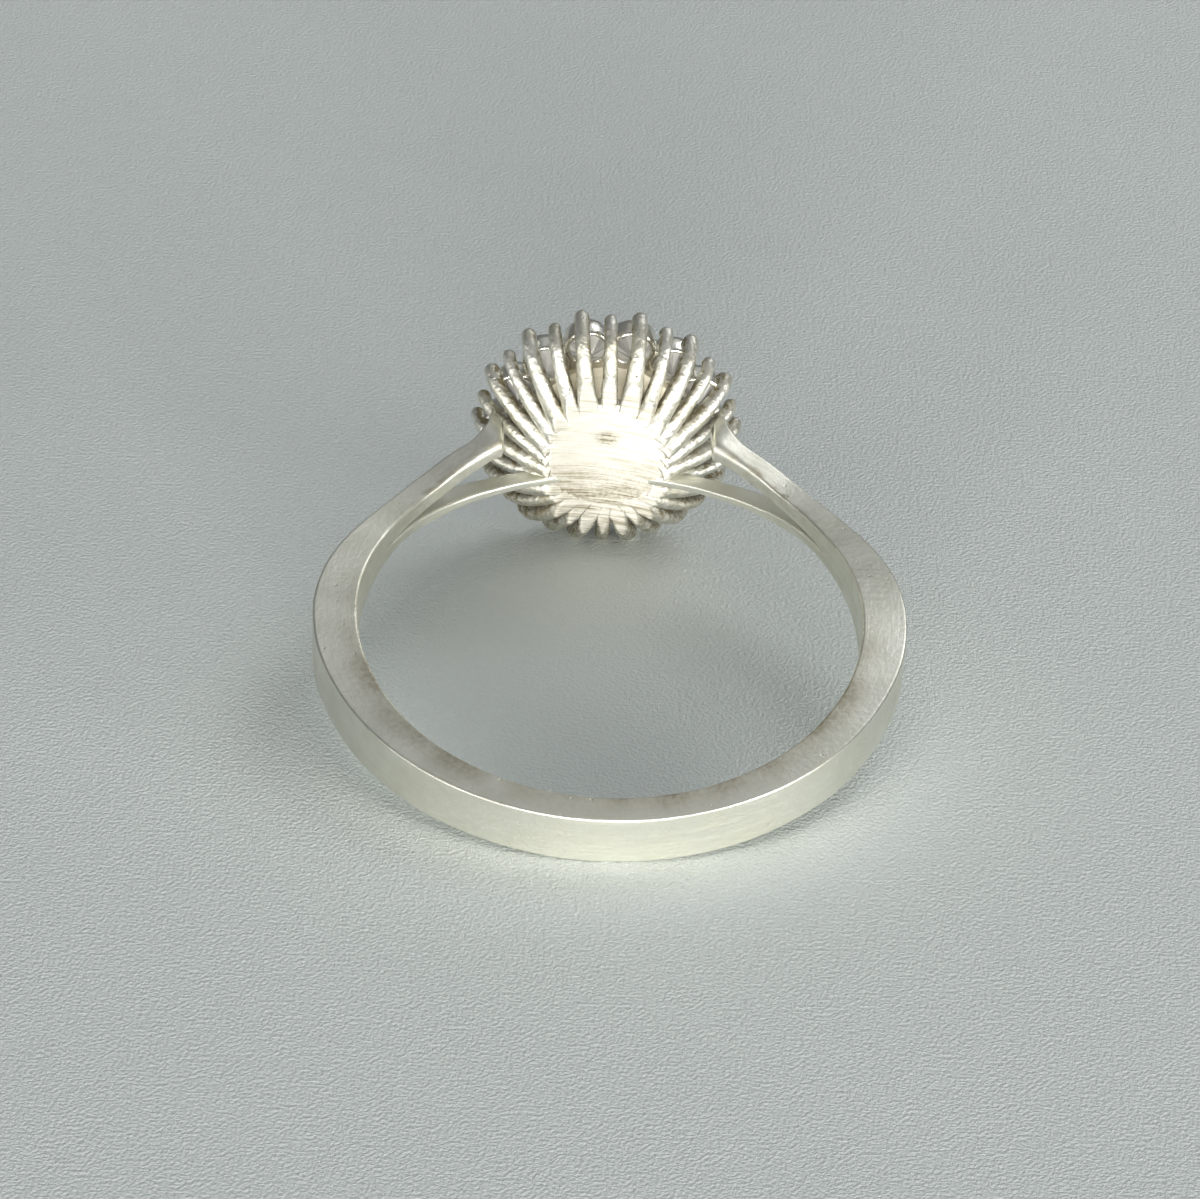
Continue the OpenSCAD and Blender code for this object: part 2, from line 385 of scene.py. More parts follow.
SECTION_STEP, BAND_SECTIONS = 1.5, 80
shank_points, shank_faces = [], []
for side in (1, -1):
    for name, head_end in (("upper", UPPER[0][0]), ("lower", LOWER[0][0])):
        before = list(np.arange(head_end, FORK, SECTION_STEP))
        angles = before + list(np.linspace(FORK, 180, BAND_SECTIONS))
        points, faces = strand(name, angles, side)
        offset = len(shank_points)
        shank_points += points
        shank_faces += [tuple(offset + k for k in face) for face in faces]
shank = make_piece("shank", shank_points, shank_faces)
wave(shank, depth=0.02, size=2.6)
shank.data.set_sharp_from_angle(angle=math.radians(50))
add_ring_uv(shank)
print("shank:", len(shank.data.vertices), "points,", len(shank.data.polygons), "faces")

# %% [markdown]
# Dirt stays where a polishing wheel doesn't reach. On the upper branches it is a broken crust along the inner top
# edge, and on the band a dull stain over the inner part of the top face.

# %% Dirt on the shank
CRUST_PLACE, CRUST_WIDTH = 0.12, 0.13
STAIN_INNER, STAIN_OUTER = 0.09, 0.99
spots, normals = ring_arrays(shank)
off_hole = np.hypot(spots[:, 0], spots[:, 1]) - finger_r
from_head = np.degrees(np.arctan2(np.abs(spots[:, 0]), spots[:, 1]))
crust = np.exp(-((off_hole - CRUST_PLACE) / CRUST_WIDTH) ** 2) * (spots[:, 2] > 0) * fade(from_head, 60, 48)
crust *= np.clip(0.35 + 0.9 * speckles(spots, 3.5), 0, 0.7)
stain = fade(off_hole, STAIN_OUTER, STAIN_INNER) * (normals[:, 2] > 0.5) * fade(from_head, 70, 120)
stain *= np.clip(0.48 + 0.7 * speckles(spots, 0.8), 0, 0.75)
set_grime_and_shade(shank, crust + stain)
print("dirt on", round(100 * float(np.mean(crust + stain > 0.1))), "per cent of the shank's points")

# %% [markdown]
# ## The back plate
#
# The basket stands on an oval plate whose underside follows the finger. It is filed by hand, so fine straight marks
# run across it, and one small cast pit is left. The pit keeps some dirt, and the plate's lower half is darkened
# with painted shade. A fan of rings from the middle to the rim makes the underside, and one short wall and a flat
# top close it.

# %% Back plate
PLATE_HALF_X, PLATE_HALF_Z, PLATE_TOP = 2.1, 2.5, 9.15
PLATE_DROP = 0.36
# Place, half width, half length and depth of the pit
PIT_X, PIT_Z, PIT_R, PIT_HALF_Z, PIT_DEPTH = -0.02, 0.88, 0.34, 0.7 * 0.34, 0.05
PLATE_RINGS, PLATE_SPOKES = 36, 144
PLATE_EDGE, RIPPLE, RIM_LIFT = 0.03, 0.012, 0.014


def pit_share(x, z):
    """How much of the pit is at a place: 1 in its middle, and less outwards."""
    return np.exp(-np.hypot((x - PIT_X) / PIT_R, (z - PIT_Z) / PIT_HALF_Z) ** 2)


plate_points = []
rows = [(k / PLATE_RINGS, 0.0) for k in range(PLATE_RINGS)] + [(1.0, PLATE_EDGE), (1.0, PLATE_TOP - finger_r)]
for share, lift in rows:
    for k in range(PLATE_SPOKES):
        a = 2 * math.pi * k / PLATE_SPOKES
        x, z = share * PLATE_HALF_X * math.sin(a), share * PLATE_HALF_Z * math.cos(a)
        z -= PLATE_DROP * share * max(-math.cos(a), 0) ** 2
        pit = PIT_DEPTH * pit_share(x, z) * (1.0 + 0.6 * noise.noise(Vector((7 * x, 7 * z, 0.3))))
        ripple = RIPPLE * noise.noise(Vector((0.9 * x, 2.4 * z, 4.0))) + RIM_LIFT * max((share - 0.8) / 0.2, 0)
        height = math.sqrt(finger_r ** 2 - x * x) + pit + ripple + lift
        plate_points.append((x, PLATE_TOP if lift > 0.1 else height, z))
last_row = (len(rows) - 1) * PLATE_SPOKES
plate_faces = quad_rows(len(rows), PLATE_SPOKES) + [tuple(range(last_row, last_row + PLATE_SPOKES))]
back_plate = make_piece("back_plate", plate_points, plate_faces)
back_plate.data.set_sharp_from_angle(angle=math.radians(40))
add_ring_uv(back_plate, slant=0.15)
spots = ring_arrays(back_plate)[0]
speckle = speckles(spots, 9)
in_pit = pit_share(spots[:, 0], spots[:, 2]) * (1.6 + 1.2 * speckle)
# Painted shade: the plate's lower half is made darker towards its bottom edge
painted_low_shade = fade(spots[:, 2], 0.15 * PLATE_HALF_Z, -0.85 * PLATE_HALF_Z) * (0.75 + 0.5 * speckle)
set_grime_and_shade(back_plate, in_pit + painted_low_shade)
print("back plate:", len(back_plate.data.polygons), "faces")

# %% [markdown]
# ## The cup
#
# Inside the wires stands a thin oval cup. It carries the seat for the missing centre stone and shows as a warm tan
# wall between the wires. One profile, swept round an oval, makes it: out from the plate, up the wall, over the rim,
# and down inside past a ledge.

# %% Cup
CUP_SPOKES = 112
# Half width, half length and height of each ring of points
CUP_ROWS = (
    (2.02, 2.42, 8.95),
    (2.10, 2.50, 9.05),
    (2.865, 3.285, 9.77),
    (2.88, 3.27, 9.97),
    (2.86, 3.22, 10.2),
    (2.615, 3.035, 10.28),
    (2.615, 3.035, 10.88),
    (2.575, 2.995, 10.95),
    (2.415, 2.835, 10.95),
    (2.375, 2.795, 10.90),
    (2.375, 2.795, 10.32),
    (1.975, 2.395, 10.30),
    (1.945, 2.365, 10.20),
    (1.70, 2.10, 9.15),
    (1.70, 2.10, 9.0),
)


def oval_loft(rows, spokes):
    """Points and faces of a closed band swept round an oval, through rows of (half width, half length, height)."""
    points = []
    for half_x, half_z, height in rows:
        for k in range(spokes):
            a = 2 * math.pi * k / spokes
            points.append((half_x * math.sin(a), height, half_z * math.cos(a)))
    return points, quad_rows(len(rows), spokes, closed=True)


cup = make_piece("cup", *oval_loft(CUP_ROWS, CUP_SPOKES))
cup.data.set_sharp_from_angle(angle=math.radians(35))
add_ring_uv(cup)
print("cup:", len(cup.data.polygons), "faces")

# %% [markdown]
# ## The basket of wires
#
# Twenty-eight wires rise from the plate and curl up round the stones, one thick and one thin in turn. They all
# follow one rule, so Geometry Nodes make them: a straight wire is laid at twenty-eight points, then each of its
# points is moved to a place that follows from the wire's number and the share of the way along it. The way is a
# cubic curve on an oval. The undersides are then filed down to the finger hole, as on the real ring.

# %% A short way to write node maths
class Sums:
    """Adds nodes to one tree and links them: a value may be a socket or a plain number."""

    def __init__(self, tree):
        self.tree = tree

    def put(self, kind, values=(), **settings):
        """A node of this kind, with its settings and its first inputs filled in."""
        node = self.tree.nodes.new(kind)
        for key, value in settings.items():
            setattr(node, key, value)
        for key, value in (values.items() if isinstance(values, dict) else enumerate(values)):
            if isinstance(value, bpy.types.NodeSocket):
                self.tree.links.new(value, node.inputs[key])
            elif value is not None:
                node.inputs[key].default_value = value
        return node

    def sum(self, operation, *values):
        """The result of one maths node."""
        return self.put("ShaderNodeMath", values, operation=operation).outputs[0]

    def mix(self, share, low, high):
        """Low where the share is 0, high where it is 1."""
        return self.sum("MULTIPLY_ADD", share, self.sum("SUBTRACT", high, low), low)

    def blend(self, share, low, high):
        """The same for colours, each given as a socket or as three numbers."""
        low, high = (value + (1.0,) if isinstance(value, tuple) else value for value in (low, high))
        return self.put("ShaderNodeMix", {0: share, 6: low, 7: high}, data_type="RGBA").outputs[2]

    def curve_of_four(self, t, a, b, c, d):
        """The cubic curve through a and d that leans towards b and c."""
        rest = self.sum("SUBTRACT", 1.0, t)
        first = self.mix(t, a, b)
        second = self.mix(t, b, c)
        third = self.mix(t, c, d)
        near = self.sum("ADD", self.sum("MULTIPLY", rest, first), self.sum("MULTIPLY", t, second))
        far = self.sum("ADD", self.sum("MULTIPLY", rest, second), self.sum("MULTIPLY", t, third))
        return self.mix(t, near, far)


def new_tree(name, inputs):
    """An empty Geometry Nodes tree with named number inputs, and its sockets by name."""
    tree = bpy.data.node_groups.new(name, "GeometryNodeTree")
    tree.interface.new_socket(name="Geometry", in_out="INPUT", socket_type="NodeSocketGeometry")
    for label, value in inputs.items():
        kind = "NodeSocketInt" if isinstance(value, int) else "NodeSocketFloat"
        kind = "NodeSocketMaterial" if value is None else kind
        kind = "NodeSocketObject" if value == "object" else kind
        socket = tree.interface.new_socket(name=label, in_out="INPUT", socket_type=kind)
        if isinstance(value, (int, float)):
            socket.default_value = value
    tree.interface.new_socket(name="Geometry", in_out="OUTPUT", socket_type="NodeSocketGeometry")
    return tree, tree.nodes.new("NodeGroupInput").outputs


def bake_tree(name, tree, chosen):
    """Run a tree on an empty mesh, with some inputs chosen by label, and keep the result as a plain mesh piece."""
    holder = add_object(name + "_holder", bpy.data.meshes.new(name + "_holder"))
    modifier = holder.modifiers.new("nodes", "NODES")
    modifier.node_group = tree
    sockets = {item.name: item.identifier for item in tree.interface.items_tree if item.in_out == "INPUT"}
    for label, value in chosen.items():
        modifier[sockets[label]] = value
    evaluated = holder.evaluated_get(bpy.context.evaluated_depsgraph_get())
    mesh = bpy.data.meshes.new_from_object(evaluated)
    mesh.name = name
    bpy.data.objects.remove(holder)
    mesh.transform(ring_to_table)
    clean_mesh(mesh, 0.0005)
    return add_object(name, mesh)


# %% The tree of the wires
WIRE_POINTS = 44
TIP_RISE = 2.18
wire_tree, given = new_tree("wire_basket", {
    "Wires": 28,
    "Thick Radius": 0.28,
    "Thin Radius": 0.235,
    "Root Growth": 0.38,
    "Foot Turn": 0.314,
    "Plate Half Width": PLATE_HALF_X,
    "Plate Half Length": PLATE_HALF_Z,
    "Tip Half Width": 4.58,
    "Tip Half Length": 4.98,
    "Tip Rise": TIP_RISE,
    "Lean": 0.03,
    "Thin Inset": 0.06,
    "Thin Drop": 0.22,
    "Finger Radius": finger_r,
    "Roughness": 0.05,
    "Silver": None,
})
s = Sums(wire_tree)
straight = s.put("GeometryNodeCurvePrimitiveLine")
fine = s.put("GeometryNodeResampleCurve", {"Curve": straight.outputs[0], "Count": WIRE_POINTS})
starts = s.put("GeometryNodePoints", {"Count": given["Wires"]})
laid = s.put("GeometryNodeInstanceOnPoints", {"Points": starts.outputs[0], "Instance": fine.outputs[0]})
wires = s.put("GeometryNodeRealizeInstances", {"Geometry": laid.outputs[0]})
index = s.put("GeometryNodeInputIndex").outputs[0]
number = s.sum("FLOOR", s.sum("DIVIDE", s.sum("ADD", index, 0.5), float(WIRE_POINTS)))
step = s.sum("SUBTRACT", index, s.sum("MULTIPLY", number, float(WIRE_POINTS)))
share = s.sum("DIVIDE", step, float(WIRE_POINTS - 1))
along = s.sum("SINE", s.sum("MULTIPLY", share, math.pi / 2))
half_count = s.sum("MULTIPLY", given["Wires"], 0.5)
hand = s.sum("SIGN", s.sum("SUBTRACT", half_count, number))
place = s.sum("SUBTRACT", half_count, s.sum("ABSOLUTE", s.sum("SUBTRACT", half_count, number)))
round_share = s.sum("DIVIDE", place, half_count)
thin = s.sum("SUBTRACT", 1.0, s.sum("MODULO", number, 2.0))
print("wire tree:", len(wire_tree.nodes), "nodes so far")

# %% [markdown]
# The feet stand on the plate's rim and the tips on a wider oval. Seen from the finger, the side wires don't run
# straight out: their feet are turned towards the lower edge, so that the basket fans out like a shell. The wires
# creep along the finger first and the side ones climb sooner. The real head was soldered on a little crooked, so
# its tips lean.

# %% Where the wires run
FOOT_SHARE, FOOT_DEPTH = 0.93, 0.15
# Turn in radians of the place where the wires climb soonest
STEEP_TURN = 0.262
# Shares of the way out that the curve leans towards, and their change for the wires that climb soonest
NEAR_LEAN, NEAR_CHANGE = 0.574, -0.15
FAR_LEAN, FAR_CHANGE = 1.09, -0.08
# Heights that it leans towards: over the finger hole and as a share of the rise, and the same change
CREEP, CREEP_CHANGE = 0.01, 0.5
CLIMB_SHARE, CLIMB_CHANGE = 0.27, 0.45
hole_r = given["Finger Radius"]
tip_angle = s.sum("MULTIPLY", round_share, math.pi)
turned = s.sum("SINE", s.sum("MULTIPLY", s.sum("POWER", round_share, 0.7), math.pi))
foot_angle = s.sum("MULTIPLY_ADD", turned, given["Foot Turn"], tip_angle)
steep = s.sum("POWER", s.sum("MAXIMUM", s.sum("SINE", s.sum("ADD", tip_angle, STEEP_TURN)), 0.0), 3.0)
inset = s.sum("MULTIPLY", thin, given["Thin Inset"])


def oval_way(turning, plate_half, tip_half):
    """Distance from the head's middle, along its width or its length, from the foot to the tip."""
    foot = s.sum("MULTIPLY", s.sum(turning, foot_angle), s.sum("MULTIPLY", plate_half, FOOT_SHARE))
    tip = s.sum("MULTIPLY", s.sum(turning, tip_angle), s.sum("SUBTRACT", tip_half, inset))
    near = s.sum("MULTIPLY_ADD", steep, NEAR_CHANGE, NEAR_LEAN)
    far = s.sum("MULTIPLY_ADD", steep, FAR_CHANGE, FAR_LEAN)
    return foot, s.curve_of_four(along, foot, s.mix(near, foot, tip), s.mix(far, foot, tip), tip)


foot_x, across = oval_way("SINE", given["Plate Half Width"], given["Tip Half Width"])
foot_z, lengthwise = oval_way("COSINE", given["Plate Half Length"], given["Tip Half Length"])
sunk = s.sum("ADD", hole_r, FOOT_DEPTH)
creep = s.sum("MULTIPLY_ADD", steep, CREEP_CHANGE, s.sum("ADD", hole_r, CREEP))
climb = s.sum("MULTIPLY_ADD", given["Tip Rise"], CLIMB_SHARE, s.sum("MULTIPLY_ADD", steep, CLIMB_CHANGE, hole_r))
top = s.sum("ADD", hole_r, given["Tip Rise"])
top = s.sum("SUBTRACT", top, s.sum("MULTIPLY", thin, given["Thin Drop"]))
rise = s.curve_of_four(along, sunk, creep, climb, top)
# The finger hole's wall is lower beside the middle, so the feet there are lower too
hole = s.sum("SQRT", s.sum("SUBTRACT", s.sum("POWER", hole_r, 2.0), s.sum("POWER", foot_x, 2.0)))
near_foot = s.sum("POWER", s.sum("SUBTRACT", 1.0, along), 2.0)
fall = s.sum("MULTIPLY", s.sum("SUBTRACT", hole_r, hole), near_foot)
sideways = s.sum("MULTIPLY", across, hand)
leaning = s.sum("MULTIPLY", s.sum("MULTIPLY", sideways, along), s.sum("MULTIPLY", given["Lean"], -1.0))
way = s.put("ShaderNodeCombineXYZ", [
    sideways,
    s.sum("SUBTRACT", rise, fall),
    s.sum("ADD", lengthwise, leaning),
])
bent = s.put("GeometryNodeSetPosition", {"Geometry": wires.outputs[0], "Position": way.outputs[0]})
print("the wires reach", round(finger_r + TIP_RISE, 2), "mm from the finger hole's middle")

# %% [markdown]
# The wires are thicker at the root, as cast ones are, and end in round tips. Slow noise makes them uneven, and finer
# noise gives them a rough skin. Then every point that would stand in the finger hole is moved out to its wall, which
# leaves flats like those of a file.

# %% How thick the wires are, and the filed undersides
TIP_START, ROOT_FADE, LUMPS = 0.93, 1.8, 0.3
FLAT_LIFT = 0.004
full = s.mix(thin, given["Thick Radius"], given["Thin Radius"])
past = s.sum("DIVIDE", s.sum("MAXIMUM", s.sum("SUBTRACT", along, TIP_START), 0.0), 1 - TIP_START)
dome = s.sum("SQRT", s.sum("MAXIMUM", s.sum("SUBTRACT", 1.0, s.sum("POWER", past, 2.0)), 0.002))
lump = s.put("ShaderNodeTexNoise", {"Vector": way.outputs[0], "Scale": 1.3, "Detail": 1.0})
uneven = s.sum("MULTIPLY_ADD", lump.outputs[0], LUMPS, 1 - LUMPS / 2)
root = s.sum("MAXIMUM", s.sum("MULTIPLY_ADD", along, -ROOT_FADE, 1.0), 0.0)
root = s.sum("MULTIPLY_ADD", root, given["Root Growth"], 1.0)
radius = s.sum("MULTIPLY", s.sum("MULTIPLY", s.sum("MULTIPLY", full, root), dome), uneven)
ring = s.put("GeometryNodeCurvePrimitiveCircle", {"Resolution": 20, "Radius": 1.0})
tube = s.put("GeometryNodeCurveToMesh", {
    "Curve": bent.outputs[0], "Profile Curve": ring.outputs[0], "Scale": radius, "Fill Caps": True})
at = s.put("GeometryNodeInputPosition").outputs[0]
grain = s.put("ShaderNodeTexNoise", {"Vector": at, "Scale": 3.2, "Detail": 2.0})
push = s.put("ShaderNodeVectorMath", [grain.outputs["Color"], (0.5, 0.5, 0.5)], operation="SUBTRACT")
pushed = s.put("ShaderNodeVectorMath", {0: push.outputs[0], "Scale": given["Roughness"]}, operation="SCALE")
rough = s.put("GeometryNodeSetPosition", {"Geometry": tube.outputs[0], "Offset": pushed.outputs[0]})
apart = s.put("ShaderNodeSeparateXYZ", [at])
flat_at = s.put("ShaderNodeCombineXYZ", [apart.outputs[0], apart.outputs[1], 0.0])
reach = s.put("ShaderNodeVectorMath", [flat_at.outputs[0]], operation="LENGTH").outputs["Value"]
grow = s.sum("DIVIDE", s.sum("MAXIMUM", reach, s.sum("ADD", hole_r, FLAT_LIFT)), reach)
filed_at = s.put("ShaderNodeCombineXYZ", [
    s.sum("MULTIPLY", apart.outputs[0], grow),
    s.sum("MULTIPLY", apart.outputs[1], grow),
    apart.outputs[2],
])
filed = s.put("GeometryNodeSetPosition", {"Geometry": rough.outputs[0], "Position": filed_at.outputs[0]})
shaded = s.put("GeometryNodeSetShadeSmooth", {"Geometry": filed.outputs[0]})
joined = s.put("GeometryNodeRealizeInstances", {"Geometry": shaded.outputs[0]})
coated = s.put("GeometryNodeSetMaterial", {"Geometry": joined.outputs[0], "Material": given["Silver"]})
s.put("NodeGroupOutput", [coated.outputs[0]])
print("wire tree:", len(wire_tree.nodes), "nodes")

# %% [markdown]
# ## The small stones
#
# Fourteen round stones sit in the halo, each behind a thick wire. From the finger side only their pointed backs and
# the edges of their girdles show. The girdle of such a stone is left ground, and it shows as a white arc. One cut
# stone is drawn with all its facets, and Geometry Nodes place it at fourteen points of an oval, each turned by its
# own amount, because stones are never set with their facets in line.

# %% One cut stone
STONE_R = 0.73
# All in shares of the radius: the flat top, the points below it, the girdle's half thickness, and the lower side
TABLE_R, CROWN = 0.56, 0.30
KITE_R, KITE_HEIGHT = 0.80, 0.22
GIRDLE = 0.09
LOWER_R, DEEP = 0.25, 0.86


def cut_stone():
    """A round cut stone with its table towards +Z: points in millimetres, and flat facets."""
    def ring_of(count, radius, height, turn=0.0):
        angles = [2 * math.pi * (k + turn) / count for k in range(count)]
        return [(radius * math.cos(a), radius * math.sin(a), height) for a in angles]
    points = ring_of(8, TABLE_R, CROWN) + ring_of(8, KITE_R, KITE_HEIGHT, 0.5)
    points += ring_of(16, 1.0, GIRDLE) + ring_of(16, 1.0, -GIRDLE)
    points += ring_of(8, LOWER_R, -DEEP + (DEEP - GIRDLE) * LOWER_R, 0.5) + [(0.0, 0.0, -DEEP)]
    table, upper, rim, under, lower, point = 0, 8, 16, 32, 48, 56
    faces = [tuple(range(8))]
    for k in range(8):
        after, here = (k + 1) % 8, 2 * k
        nexts = [(here + 1) % 16, (here + 2) % 16]
        faces.append((table + k, upper + k, table + after))
        faces.append((table + k, upper + (k - 1) % 8, rim + here, upper + k))
        faces.append((upper + k, rim + here, rim + nexts[0]))
        faces.append((upper + k, rim + nexts[0], rim + nexts[1]))
        faces.append((lower + k, under + nexts[0], under + here))
        faces.append((lower + k, under + nexts[1], under + nexts[0]))
        faces.append((point, lower + (k - 1) % 8, under + here, lower + k))
    for k in range(16):
        faces.append((rim + k, under + k, under + (k + 1) % 16, rim + (k + 1) % 16))
    return [tuple(STONE_R * v for v in spot) for spot in points], faces


def make_pattern(name, points, faces):
    """A loose object that a tree lays at each place of the halo."""
    mesh = bpy.data.meshes.new(name)
    mesh.from_pydata(points, [], faces)
    return add_object(name, mesh)


stone_pattern = make_pattern("cut_stone", *cut_stone())
print("one stone has", len(stone_pattern.data.polygons), "facets")

# %% [markdown]
# ## The seats of the small stones
#
# Each stone lies in a short tube of silver. Seen from behind, the tube's outer wall is a grey strip, its bevelled
# back edge a white arc, and the part nearest the cup a second, broken white line. A profile of radius and depth is
# turned round the stone's axis, and pushed a little by noise, because the seats were cut by hand. The same tree
# that lays the stones lays the seats.

# %% One seat
SEAT_SPOKES, SEAT_UNEVEN = 36, 0.02
# Radius, and depth towards the front, from the girdle
SEAT_PROFILE = (
    (0.70, -0.06), (0.63, -0.13), (0.66, -0.17), (0.73, -0.215), (0.76, -0.215), (0.80, -0.20), (0.84, -0.16),
    (0.86, -0.11), (0.85, 0.25), (0.83, 0.50), (0.80, 0.54), (0.76, 0.53), (0.65, 0.17), (0.70, 0.06),
)


def seat_ring():
    """A turned seat with its open front towards +Z: points in millimetres, and faces."""
    points = []
    for radius, depth in SEAT_PROFILE:
        for k in range(SEAT_SPOKES):
            a = 2 * math.pi * k / SEAT_SPOKES
            spot = Vector((radius * math.cos(a), radius * math.sin(a), depth))
            # Three noise values make the push, because Blender's noise_vector isn't the same in every run
            push = Vector([noise.noise(2.6 * spot + Vector((9.3, -1.5, 8.0 * way))) for way in range(3)])
            points.append(tuple(spot + SEAT_UNEVEN * push))
    return points, quad_rows(len(SEAT_PROFILE), SEAT_SPOKES, closed=True)


seat_pattern = make_pattern("seat", *seat_ring())
print("one seat has", len(seat_pattern.data.polygons), "faces")

# %% The tree of the stones and their seats
stone_tree, given = new_tree("halo", {
    "Stones": 14,
    "Halo Half Width": 3.55,
    "Halo Half Length": 3.89,
    "Girdle Height": 10.3,
    "Seed": 4,
    "Pattern": "object",
    "Finish": None,
})
s = Sums(stone_tree)
starts = s.put("GeometryNodePoints", {"Count": given["Stones"]})
index = s.put("GeometryNodeInputIndex").outputs[0]
angle = s.sum("DIVIDE", s.sum("MULTIPLY", s.sum("ADD", index, 0.5), 2 * math.pi), given["Stones"])
seat = s.put("ShaderNodeCombineXYZ", [
    s.sum("MULTIPLY", given["Halo Half Width"], s.sum("SINE", angle)),
    given["Girdle Height"],
    s.sum("MULTIPLY", given["Halo Half Length"], s.sum("COSINE", angle)),
])
seated = s.put("GeometryNodeSetPosition", {"Geometry": starts.outputs[0], "Position": seat.outputs[0]})
pattern = s.put("GeometryNodeObjectInfo", {"Object": given["Pattern"]})
chance = s.put("ShaderNodeTexWhiteNoise", {"W": s.sum("ADD", index, given["Seed"])}, noise_dimensions="1D")
spin = s.put("ShaderNodeCombineXYZ", [0.0, 0.0, s.sum("MULTIPLY", chance.outputs[0], math.pi / 4)])
facing = s.put("ShaderNodeCombineXYZ", [-math.pi / 2, 0.0, 0.0])
laid = s.put("GeometryNodeInstanceOnPoints", {
    "Points": seated.outputs[0], "Instance": pattern.outputs["Geometry"], "Rotation": facing.outputs[0]})
facets = s.put("GeometryNodeRotateInstances", {
    "Instances": laid.outputs[0], "Rotation": spin.outputs[0], "Local Space": True})
joined = s.put("GeometryNodeRealizeInstances", {"Geometry": facets.outputs[0]})
each = s.put("GeometryNodeInputIndex").outputs[0]
# A chance number for each facet, which sets its painted glint
chance = s.put("ShaderNodeTexWhiteNoise", {"W": s.sum("ADD", each, given["Seed"])}, noise_dimensions="1D")
noted = s.put("GeometryNodeStoreNamedAttribute", {
    "Geometry": joined.outputs[0], "Name": "flash", "Value": chance.outputs[0]}, data_type="FLOAT", domain="FACE")
coated = s.put("GeometryNodeSetMaterial", {"Geometry": noted.outputs[0], "Material": given["Finish"]})
s.put("NodeGroupOutput", [coated.outputs[0]])
print("stone tree:", len(stone_tree.nodes), "nodes")

# %% [markdown]
# ## Finishes
#
# All the metal is one silver, but it doesn't look the same all over. The cast faces keep a fine grain and small
# pits, the filed faces carry straight marks, and the plate is polished bright over its marks. Two shader groups hold
# these effects, and each finish mixes them in its own measure. On top comes a dark tan where the attribute asks for
# it: dirt in some places, and painted shade on the plate's lower half and on the wires.

# %% Groups for marks and grain
def new_group(name, inputs, outputs):
    """An empty shader group with named number inputs (a vector where the value is None) and number outputs."""
    tree = bpy.data.node_groups.new(name, "ShaderNodeTree")
    for label, value in inputs.items():
        kind = "NodeSocketVector" if value is None else "NodeSocketFloat"
        socket = tree.interface.new_socket(name=label, in_out="INPUT", socket_type=kind)
        if value is not None:
            socket.default_value = value
    for label in outputs:
        tree.interface.new_socket(name=label, in_out="OUTPUT", socket_type="NodeSocketFloat")
    return tree, tree.nodes.new("NodeGroupInput").outputs


file_marks, given = new_group("file_marks", {"Place": None, "Along": 0.35, "Across": 14.0}, ["Height", "Mask"])
s = Sums(file_marks)
stretch = s.put("ShaderNodeCombineXYZ", [given["Along"], given["Across"], 1.0])
drawn = s.put("ShaderNodeVectorMath", [given["Place"], stretch.outputs[0]], operation="MULTIPLY")
fine = s.put("ShaderNodeTexNoise", {"Vector": drawn.outputs[0], "Scale": 1.0, "Detail": 4.0, "Roughness": 0.6})
broad = s.put("ShaderNodeTexNoise", {"Vector": drawn.outputs[0], "Scale": 0.4, "Detail": 2.0, "Distortion": 0.3})
height = s.sum("ADD", s.sum("MULTIPLY", fine.outputs[0], 0.55), s.sum("MULTIPLY", broad.outputs[0], 0.45))
mask = s.put("ShaderNodeMapRange", {"Value": height, "From Min": 0.5, "From Max": 0.6})
s.put("NodeGroupOutput", [height, mask.outputs[0]])

cast_grain, given = new_group("cast_grain", {"Place": None}, ["Height", "Pits", "Patches"])
s = Sums(cast_grain)
fine = s.put("ShaderNodeTexNoise", {"Vector": given["Place"], "Scale": 5200.0, "Detail": 3.0})
dents = s.put("ShaderNodeTexVoronoi", {"Vector": given["Place"], "Scale": 3000.0})
pits = s.put("ShaderNodeMapRange", {"Value": dents.outputs["Distance"], "From Min": 0.16, "From Max": 0.0})
chance = s.put("ShaderNodeSeparateColor", [dents.outputs["Color"]])
some = s.sum("GREATER_THAN", chance.outputs[0], 0.72)
pitted = s.sum("MULTIPLY", pits.outputs[0], some)
slow = s.put("ShaderNodeTexNoise", {"Vector": given["Place"], "Scale": 700.0, "Detail": 3.0})
patches = s.put("ShaderNodeMapRange", {"Value": slow.outputs[0], "From Min": 0.4, "From Max": 0.65})
s.put("NodeGroupOutput", [s.sum("SUBTRACT", fine.outputs[0], pitted), pitted, patches.outputs[0]])
print("groups:", file_marks.name, "and", cast_grain.name)

# %% Silver finishes
FINISH_BUMP = 0.012 * MM
# The dark tan of dirt, also used as painted shade where the attribute asks for it
GRIME_AND_SHADE = (0.29, 0.255, 0.165)
# How much of the stain lies in pits and marks
STAIN_IN_PITS = STAIN_IN_MARKS = 0.35
# How much rougher marks, dirt and painted shade, and patches make the metal
MARKS_ROUGH, DIRT_AND_SHADE_ROUGH, PATCHES_ROUGH = 0.12, 0.2, 0.06


def new_finish(name):
    """An empty material, and a Sums for its tree."""
    material = bpy.data.materials.new(name)
    material.use_nodes = True
    material.node_tree.nodes.clear()
    return material, Sums(material.node_tree)


